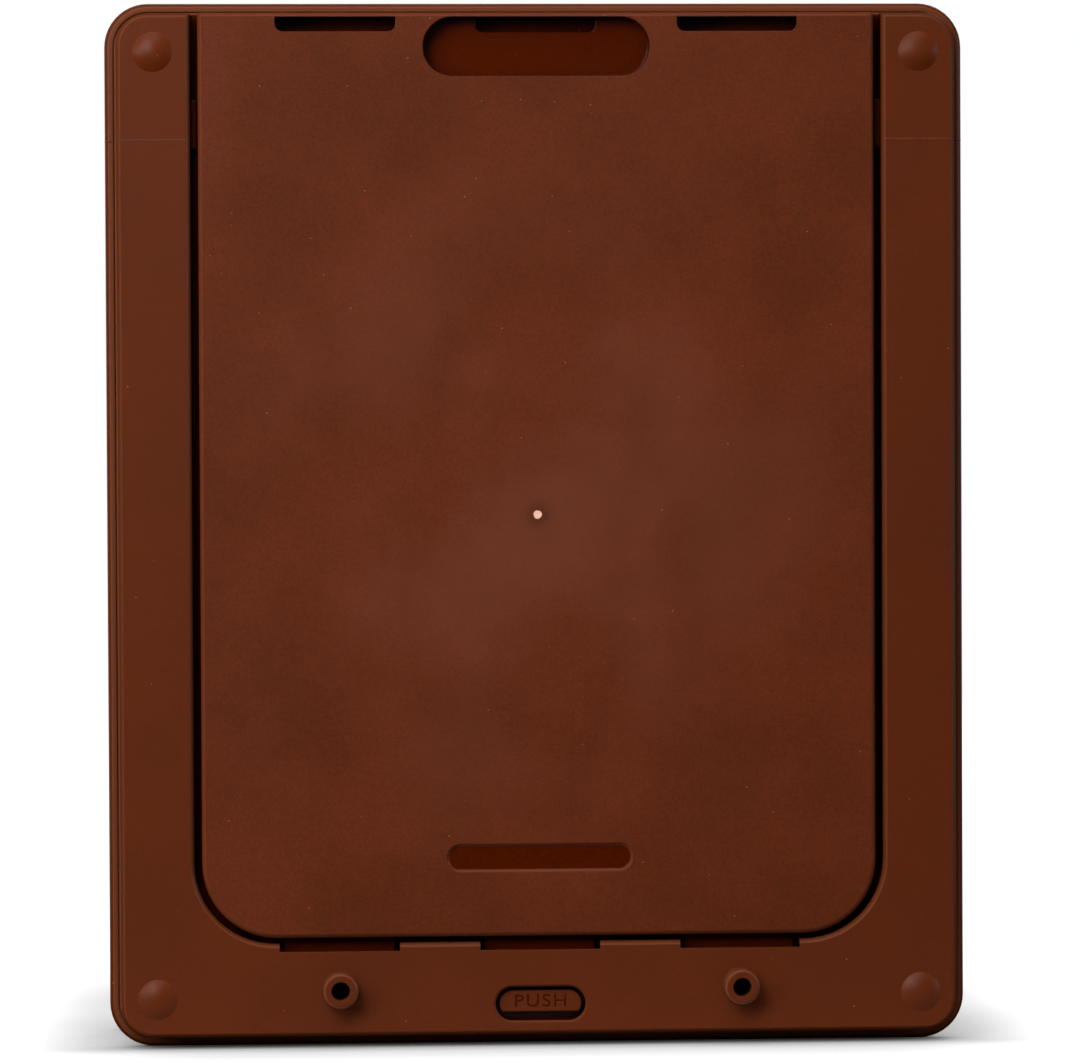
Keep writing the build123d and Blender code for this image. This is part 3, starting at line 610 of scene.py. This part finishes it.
def smooth(piece):
    """Smooth shading, with edges sharper than the crease angle kept crisp."""
    piece.data.polygons.foreach_set("use_smooth", np.ones(len(piece.data.polygons), bool))
    piece.data.set_sharp_from_angle(angle=CREASE)
    return piece


print("edges stay crisp above", round(math.degrees(CREASE)), "degrees")

# %% [markdown]
# ## Gate stub
#
# The panel was filled through its middle, and the stub of the feed was broken off there. Torn plastic
# turns pale, so it is the brightest spot of the whole part. It could be painted on by the material, but
# a turned profile gives it the low crater and the ragged rim of the real one.

# %% Torn plastic
TEAR = 0.5 * MM
TORN_ROUGHNESS = 0.6


def torn_plastic():
    """Stress-whitened polypropylene: pale, matt and slightly rosy from the brown behind it."""
    material, tree = new_material("stress_whitened_polypropylene")
    coords = add(tree, "TexCoord").outputs["Object"]
    tear = add(tree, "TexNoise", None, {"Vector": coords, "Scale": 1 / TEAR, "Detail": 3.0}).outputs[0]
    tone = add(tree, "Mix", COLOURS, {0: tear, 6: linear("#EDAE90"), 7: linear("#FFD2BC")})
    shader = add(tree, "BsdfPrincipled", None,
                 {"Base Color": tone.outputs[2], "Roughness": TORN_ROUGHNESS, "IOR": PLASTIC_IOR})
    add(tree, "OutputMaterial", None, {"Surface": shader.outputs[0]})
    return material


print("tears", TEAR / MM, "mm wide")

# %% Gate stub on the panel
GATE_RADIUS = 1.45 * MM
GATE_RADII = (0.98, 1.0, 0.93, 0.72, 0.45, 0.12)  # shares of the radius, from the root to the crater
GATE_HEIGHTS = (-0.10, 0.05, 0.22, 0.20, 0.12, 0.10)  # over the panel in millimetres
GATE_STEPS = 40
GATE_WAVES = 3
GATE_RAGGED = 0.04
GATE_PHASE = 0.6


def gate_stub():
    """A turned profile: radius and height as listed, swept by angle, and waved by a sine of the angle."""
    radius = np.array(GATE_RADII)[:, None] * GATE_RADIUS
    height = np.array(GATE_HEIGHTS)[:, None] * MM
    angle = np.linspace(0, 2 * np.pi, GATE_STEPS, endpoint=False)[None, :]
    wave = 1 + GATE_RAGGED * np.sin(GATE_WAVES * angle + GATE_PHASE)
    x = GATE_X + radius * wave * np.cos(angle)
    z = GATE_Z + radius * wave * np.sin(angle)
    y = FACE_Y - height * np.ones_like(angle)
    return piece_from_grid("gate_stub", np.stack([x, y, z], axis=-1), "panel", torn_plastic())


stub = smooth(gate_stub())
print("gate stub", round(2 * GATE_RADIUS / MM, 1), "mm across")

# %% [markdown]
# ## Witness lines on the rails
#
# Where two blocks of the mould meet, the melt creeps a hair's breadth into the joint and leaves a fine
# raised line; its paler tone is a painted highlight on the thin ridge. One crosses each side of the frame
# near its top, over the rounded rim and over the flat face. Each is a half-round profile carried along a
# path.

# %% Witness lines
WITNESS_Z = 131.2 * MM
WITNESS_WIDTH = 0.5 * MM
WITNESS_HEIGHT = 0.08 * MM
FACE_BEVEL = 1.4 * MM
RAIL_OUTER = 143.0 * MM - FACE_BEVEL
RAIL_INNER = 117.9 * MM + FACE_BEVEL
RIM_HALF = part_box("internal_frame")[1].x
ARC_STEPS = 9
RAIL_STEPS = 24
RIM_STEPS = 16
# paler plastic: painted highlight along the witness lines
flash_highlight_plastic = moulded_plastic("brown_polypropylene_flash_highlight", FACE_Y, FLASH_HIGHLIGHT_FINISH)


def witness_line(name, x, y, lean):
    """A half ellipse carried along a path in X and Y, its height along the lean angle from the front."""
    angle = np.linspace(0, np.pi, ARC_STEPS)[None, :]
    rise = WITNESS_HEIGHT * np.sin(angle)
    across = x[:, None] + rise * np.sin(lean)[:, None]
    depth = y[:, None] - rise * np.cos(lean)[:, None]
    z = np.broadcast_to(WITNESS_Z + WITNESS_WIDTH / 2 * np.cos(angle), across.shape)
    turned = int(np.sign(x[-1] - x[0]))
    grid = np.stack([across, depth, z], axis=-1)[::turned]
    return piece_from_grid(name, grid, "frame", flash_highlight_plastic)


lean = np.linspace(0, np.pi / 2, RIM_STEPS)
rim_x = RIM_HALF - RIM_ROUND + RIM_ROUND * np.sin(lean)
rim_y = -RIM_CREST + RIM_ROUND - RIM_ROUND * np.cos(lean)
rail_x = np.linspace(RAIL_INNER, RAIL_OUTER, RAIL_STEPS)
rail_y = np.full(RAIL_STEPS, FACE_Y)
for side, place in ((-1, "left"), (1, "right")):
    face_line = witness_line("witness_line_" + place, side * rail_x, rail_y, np.zeros(RAIL_STEPS))
    rim_line = witness_line("rim_line_" + place, side * rim_x, rim_y, side * lean)
    for line in (face_line, rim_line):
        smooth(line)
print("witness lines", round((RAIL_OUTER - RAIL_INNER) / MM, 1), "mm long on the rails")

# %% [markdown]
# ## Word on the button
#
# The button of the catch carries a shallow word in the same plastic. Text is made a mesh first and then
# put in its place, because a piece's object stays at the origin. The letters lie off the show plane and
# take the darker polished tone, which paints the shade of letters sunk into the button.

# %% Word on the button
WORD = "PUSH"
WORD_HEIGHT = 4.2 * MM
WORD_WIDTH = 17.5 * MM
WORD_RISE = 0.12 * MM
WORD_Z = -162.9 * MM
LETTER_DEPTH = 0.5  # any depth does, because the word is scaled afterwards
LETTER_SPACE = 1.15


def word_mesh(name, text):
    """Block letters scaled to the word's width and height, laid on the button, facing the room."""
    curve = bpy.data.curves.new(name, "FONT")
    curve.body = text
    curve.extrude = LETTER_DEPTH
    curve.space_character = LETTER_SPACE
    holder = bpy.data.objects.new(name + "_curve", curve)
    mesh = bpy.data.meshes.new_from_object(holder)
    bpy.data.objects.remove(holder)
    points = np.zeros(3 * len(mesh.vertices))
    mesh.vertices.foreach_get("co", points)
    points = points.reshape(-1, 3)
    low, high = points.min(0), points.max(0)
    flat = (points - (low + high) / 2) / (high - low)
    placed = np.stack([flat[:, 0] * WORD_WIDTH, BUTTON_Y - flat[:, 2] * 2 * WORD_RISE,
                       WORD_Z + flat[:, 1] * WORD_HEIGHT], axis=-1)
    mesh.vertices.foreach_set("co", placed.ravel())
    mesh.update()
    return mesh


word = bpy.data.objects.new("button_word", word_mesh("button_word", WORD))
bpy.context.scene.collection.objects.link(word)
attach(word, "catch")
# the letters' darker tone is painted shade, as if sunk into the button
word.data.materials.clear()
word.data.materials.append(plastics["internal_frame"])
print("word with", len(word.data.polygons), "faces")

# %% [markdown]
# ## Pile of the flap's seals
#
# A strip of nylon pile runs down both sides of the flap and along its foot, and brushes the tunnel to
# keep draughts out. Each strip is many short bristles with a few faces each: rows of them on a grid,
# every one leaning a little its own way. The whole strip is worked out as one array and replaces the
# plain block that holds its place.

# %% Nylon
STRAND = 1.2 * MM
NYLON_ROUGHNESS = 0.45
NYLON_IOR = 1.53


def nylon_pile():
    """Black-brown nylon bristle: uneven from strand to strand, with a soft sheen."""
    material, tree = new_material("nylon_pile")
    coords = add(tree, "TexCoord").outputs["Object"]
    strand = add(tree, "TexNoise", None, {"Vector": coords, "Scale": 1 / STRAND, "Detail": 2.0}).outputs[0]
    tone = add(tree, "Mix", COLOURS, {0: strand, 6: linear("#17120F"), 7: linear("#3A2E28")})
    shader = add(tree, "BsdfPrincipled", None,
                 {"Base Color": tone.outputs[2], "Roughness": NYLON_ROUGHNESS, "IOR": NYLON_IOR})
    add(tree, "OutputMaterial", None, {"Surface": shader.outputs[0]})
    return material


pile_finish = nylon_pile()
dress(pile_finish, "flap_brush_left", "flap_brush_right", "flap_brush_bottom")
print("strands vary over", STRAND / MM, "mm")

# %% Seal pile
BRISTLE_PITCH = 0.55 * MM
BRISTLE_RADIUS = 0.16 * MM
BRISTLE_LEAN = 0.25 * MM
BRISTLE_TAPER = 0.7
BRISTLE_UNEVEN = 0.12  # the shortest bristle falls short by this share
BRISTLE_WALLS = ((0, 1, 5, 4), (1, 2, 6, 5), (2, 3, 7, 6), (3, 0, 4, 7), (3, 2, 1, 0), (4, 5, 6, 7))
CORNERS = 8  # four at the root and four at the tip
THROUGH = (0, 1, 0)  # through the door


def pile_strip(node, along, outward, seed):
    """Bristles on a grid over the node's box: a square ring at the root and one at the leaning tip."""
    low, high = (np.array(corner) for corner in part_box(node))
    axis, out, deep = (int(np.argmax(np.abs(way))) for way in (along, outward, THROUGH))
    inset = BRISTLE_RADIUS + BRISTLE_LEAN
    a = np.arange(low[axis] + inset, high[axis] - inset, BRISTLE_PITCH)
    d = np.arange(low[deep] + inset, high[deep] - inset, BRISTLE_PITCH)
    roots = np.stack([g.ravel() for g in np.meshgrid(a, d, indexing="ij")], axis=-1)
    chance = np.random.default_rng(seed)
    lean = chance.uniform(-BRISTLE_LEAN, BRISTLE_LEAN, roots.shape)
    inner, outer = (low[out], high[out]) if np.sum(outward) > 0 else (high[out], low[out])
    reach = outer + chance.uniform(-BRISTLE_UNEVEN, 0.0, len(roots)) * (outer - inner)
    turn = np.arange(4) * np.pi / 2
    ring = BRISTLE_RADIUS * np.stack([np.cos(turn), np.sin(turn)], axis=-1)
    points = np.zeros((len(roots), 2, 4, 3))
    points[:, 0][..., [axis, deep]] = roots[:, None, :] + ring
    points[:, 1][..., [axis, deep]] = (roots + lean)[:, None, :] + BRISTLE_TAPER * ring
    points[:, 0, :, out] = inner
    points[:, 1, :, out] = reach[:, None]
    return points.reshape(-1, 3)


def pile_piece(node, along, outward, seed):
    """The strip as one mesh: four walls and two ends per bristle, turned where the axes are left-handed."""
    points = pile_strip(node, along, outward, seed)
    bristles = len(points) // CORNERS
    turned = int(np.dot(np.cross(along, THROUGH), outward))
    walls = np.arange(bristles)[:, None, None] * CORNERS + np.array(BRISTLE_WALLS)
    faces = walls.reshape(-1, 4)[:, ::turned]
    mesh = bpy.data.meshes.new(node + "_pile")
    mesh.from_pydata(points.tolist(), [], faces.tolist())
    mesh.materials.append(pile_finish)
    pile = bpy.data.objects.new(node + "_pile", mesh)
    bpy.context.scene.collection.objects.link(pile)
    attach(pile, "flap")
    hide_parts(node)
    print(pile.name, bristles, "bristles")


pile_piece("flap_brush_left", (0, 0, 1), (-1, 0, 0), 1)
pile_piece("flap_brush_right", (0, 0, 1), (1, 0, 0), 2)
pile_piece("flap_brush_bottom", (1, 0, 0), (0, 0, -1), 3)
